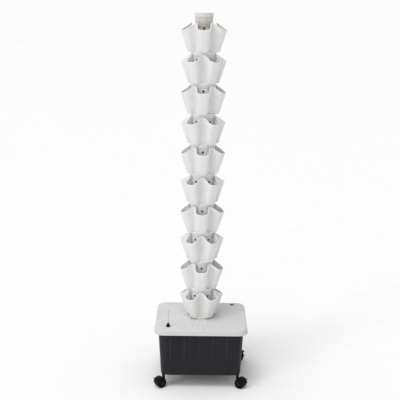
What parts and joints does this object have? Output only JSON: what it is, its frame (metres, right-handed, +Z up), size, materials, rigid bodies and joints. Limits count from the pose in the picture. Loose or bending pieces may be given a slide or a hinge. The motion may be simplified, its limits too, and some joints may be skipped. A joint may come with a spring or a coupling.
{
  "type": "hydroponic tower",
  "caption": "Vertical hydroponic planting tower: stacked tiers of outward cups on a wheeled water tank with lid, pump, riser pipe and level float.",
  "frame": {"origin": "on the floor under the tower axis, at the middle of the casters", "axes": "+Z up the tower, +X to the cable hole's side, -Y to the front with the float"},
  "size_m": [0.4402, 0.386, 1.7032],
  "materials": {
    "white_plastic": "satin",
    "lid_plastic": "satin",
    "tank_plastic": "satin",
    "cup_plastic": "satin",
    "cap_plastic": "satin",
    "black_plastic": "satin",
    "wheel_plastic": "matte",
    "rubber": "matte",
    "steel": "satin",
    "rod_plastic": "satin",
    "float_foam": "matte",
    "pipe_plastic": "satin"
  },
  "bodies": {
    "base": {"tank": "tank_plastic", "pump_body": "black_plastic", "pump_inlet_cover": "black_plastic", "pump_shaft": "steel", "pump_feet": "rubber", "pump_outlet_adapter": "black_plastic", "riser_pipe_1": "pipe_plastic", "riser_pipe_2": "pipe_plastic", "riser_pipe_3": "pipe_plastic", "riser_coupling_1": "pipe_plastic", "riser_coupling_2": "pipe_plastic", "caster_front_right_stem": "steel", "caster_front_left_stem": "steel", "caster_rear_right_stem": "steel", "caster_rear_left_stem": "steel"},
    "lid": {"tank_lid": "lid_plastic", "float_guide": "black_plastic", "cable_grommet": "rubber"},
    "float": {"float_rod": "rod_plastic", "float_rod_tip": "rod_plastic", "float_body": "float_foam"},
    "impeller": {"pump_impeller": "rod_plastic"},
    "tier_01": {"pot_tier_01": "white_plastic"},
    "tier_02": {"pot_tier_02": "white_plastic"},
    "tier_03": {"pot_tier_03": "white_plastic"},
    "tier_04": {"pot_tier_04": "white_plastic"},
    "tier_05": {"pot_tier_05": "white_plastic"},
    "tier_06": {"pot_tier_06": "white_plastic"},
    "tier_07": {"pot_tier_07": "white_plastic"},
    "tier_08": {"pot_tier_08": "white_plastic"},
    "tier_09": {"pot_tier_09": "white_plastic"},
    "tier_10": {"pot_tier_10": "white_plastic"},
    "top_cup": {"top_cup": "cup_plastic"},
    "top_lid": {"top_lid": "cap_plastic"},
    "caster_front_right": {"caster_front_right_hood": "black_plastic", "caster_front_right_axle": "steel"},
    "wheel_front_right_a": {"caster_front_right_wheel_a": "wheel_plastic"},
    "wheel_front_right_b": {"caster_front_right_wheel_b": "wheel_plastic"},
    "brake_front_right": {"caster_front_right_brake": "black_plastic"},
    "caster_front_left": {"caster_front_left_hood": "black_plastic", "caster_front_left_axle": "steel"},
    "wheel_front_left_a": {"caster_front_left_wheel_a": "wheel_plastic"},
    "wheel_front_left_b": {"caster_front_left_wheel_b": "wheel_plastic"},
    "brake_front_left": {"caster_front_left_brake": "black_plastic"},
    "caster_rear_right": {"caster_rear_right_hood": "black_plastic", "caster_rear_right_axle": "steel"},
    "wheel_rear_right_a": {"caster_rear_right_wheel_a": "wheel_plastic"},
    "wheel_rear_right_b": {"caster_rear_right_wheel_b": "wheel_plastic"},
    "brake_rear_right": {"caster_rear_right_brake": "black_plastic"},
    "caster_rear_left": {"caster_rear_left_hood": "black_plastic", "caster_rear_left_axle": "steel"},
    "wheel_rear_left_a": {"caster_rear_left_wheel_a": "wheel_plastic"},
    "wheel_rear_left_b": {"caster_rear_left_wheel_b": "wheel_plastic"},
    "brake_rear_left": {"caster_rear_left_brake": "black_plastic"}
  },
  "joints": [
    {"name": "lid_lift", "type": "slide", "parent": "base", "child": "lid", "axis": [0, 0, 1], "range_m": [0, 0.25]},
    {"name": "float_slide", "type": "slide", "parent": "lid", "child": "float", "axis": [0, 0, 1], "range_m": [0, 0.15]},
    {"name": "impeller_spin", "type": "hinge", "parent": "base", "child": "impeller", "pos_m": [0, 0, 0.0961], "axis": [0, 1, 0], "continuous": true},
    {"name": "tier_01_lift", "type": "slide", "parent": "lid", "child": "tier_01", "axis": [0, 0, 1], "range_m": [0, 0.15]},
    {"name": "tier_02_lift", "type": "slide", "parent": "tier_01", "child": "tier_02", "axis": [0, 0, 1], "range_m": [0, 0.15]},
    {"name": "tier_03_lift", "type": "slide", "parent": "tier_02", "child": "tier_03", "axis": [0, 0, 1], "range_m": [0, 0.15]},
    {"name": "tier_04_lift", "type": "slide", "parent": "tier_03", "child": "tier_04", "axis": [0, 0, 1], "range_m": [0, 0.15]},
    {"name": "tier_05_lift", "type": "slide", "parent": "tier_04", "child": "tier_05", "axis": [0, 0, 1], "range_m": [0, 0.15]},
    {"name": "tier_06_lift", "type": "slide", "parent": "tier_05", "child": "tier_06", "axis": [0, 0, 1], "range_m": [0, 0.15]},
    {"name": "tier_07_lift", "type": "slide", "parent": "tier_06", "child": "tier_07", "axis": [0, 0, 1], "range_m": [0, 0.15]},
    {"name": "tier_08_lift", "type": "slide", "parent": "tier_07", "child": "tier_08", "axis": [0, 0, 1], "range_m": [0, 0.15]},
    {"name": "tier_09_lift", "type": "slide", "parent": "tier_08", "child": "tier_09", "axis": [0, 0, 1], "range_m": [0, 0.15]},
    {"name": "tier_10_lift", "type": "slide", "parent": "tier_09", "child": "tier_10", "axis": [0, 0, 1], "range_m": [0, 0.15]},
    {"name": "top_cup_lift", "type": "slide", "parent": "tier_10", "child": "top_cup", "axis": [0, 0, 1], "range_m": [0, 0.12]},
    {"name": "top_lid_lift", "type": "slide", "parent": "top_cup", "child": "top_lid", "axis": [0, 0, 1], "range_m": [0, 0.08]},
    {"name": "front_right_swivel", "type": "hinge", "parent": "base", "child": "caster_front_right", "pos_m": [0.172, -0.143, 0.052], "axis": [0, 0, 1], "continuous": true},
    {"name": "front_right_wheel_a_spin", "type": "hinge", "parent": "caster_front_right", "child": "wheel_front_right_a", "pos_m": [0.18674, -0.15332, 0.022], "axis": [0.5736, 0.8192, 0], "continuous": true},
    {"name": "front_right_wheel_b_spin", "type": "hinge", "parent": "caster_front_right", "child": "wheel_front_right_b", "pos_m": [0.18674, -0.15332, 0.022], "axis": [0.5736, 0.8192, 0], "continuous": true},
    {"name": "front_right_brake_press", "type": "hinge", "parent": "caster_front_right", "child": "brake_front_right", "pos_m": [0.20236, -0.16426, 0.04041], "axis": [0.5736, 0.8192, 0], "range_deg": [0, 25]},
    {"name": "front_left_swivel", "type": "hinge", "parent": "base", "child": "caster_front_left", "pos_m": [-0.172, -0.143, 0.052], "axis": [0, 0, 1], "continuous": true},
    {"name": "front_left_wheel_a_spin", "type": "hinge", "parent": "caster_front_left", "child": "wheel_front_left_a", "pos_m": [-0.18674, -0.15332, 0.022], "axis": [0.5736, -0.8192, 0], "continuous": true},
    {"name": "front_left_wheel_b_spin", "type": "hinge", "parent": "caster_front_left", "child": "wheel_front_left_b", "pos_m": [-0.18674, -0.15332, 0.022], "axis": [0.5736, -0.8192, 0], "continuous": true},
    {"name": "front_left_brake_press", "type": "hinge", "parent": "caster_front_left", "child": "brake_front_left", "pos_m": [-0.20236, -0.16426, 0.04041], "axis": [0.5736, -0.8192, 0], "range_deg": [0, 25]},
    {"name": "rear_right_swivel", "type": "hinge", "parent": "base", "child": "caster_rear_right", "pos_m": [0.172, 0.143, 0.052], "axis": [0, 0, 1], "continuous": true},
    {"name": "rear_right_wheel_a_spin", "type": "hinge", "parent": "caster_rear_right", "child": "wheel_rear_right_a", "pos_m": [0.18674, 0.15332, 0.022], "axis": [-0.5736, 0.8192, 0], "continuous": true},
    {"name": "rear_right_wheel_b_spin", "type": "hinge", "parent": "caster_rear_right", "child": "wheel_rear_right_b", "pos_m": [0.18674, 0.15332, 0.022], "axis": [-0.5736, 0.8192, 0], "continuous": true},
    {"name": "rear_right_brake_press", "type": "hinge", "parent": "caster_rear_right", "child": "brake_rear_right", "pos_m": [0.20236, 0.16426, 0.04041], "axis": [-0.5736, 0.8192, 0], "range_deg": [0, 25]},
    {"name": "rear_left_swivel", "type": "hinge", "parent": "base", "child": "caster_rear_left", "pos_m": [-0.172, 0.143, 0.052], "axis": [0, 0, 1], "continuous": true},
    {"name": "rear_left_wheel_a_spin", "type": "hinge", "parent": "caster_rear_left", "child": "wheel_rear_left_a", "pos_m": [-0.15726, 0.15332, 0.022], "axis": [-0.5736, 0.8192, 0], "continuous": true},
    {"name": "rear_left_wheel_b_spin", "type": "hinge", "parent": "caster_rear_left", "child": "wheel_rear_left_b", "pos_m": [-0.15726, 0.15332, 0.022], "axis": [-0.5736, 0.8192, 0], "continuous": true},
    {"name": "rear_left_brake_press", "type": "hinge", "parent": "caster_rear_left", "child": "brake_rear_left", "pos_m": [-0.14164, 0.16426, 0.04041], "axis": [-0.5736, 0.8192, 0], "range_deg": [0, 25]}
  ]
}
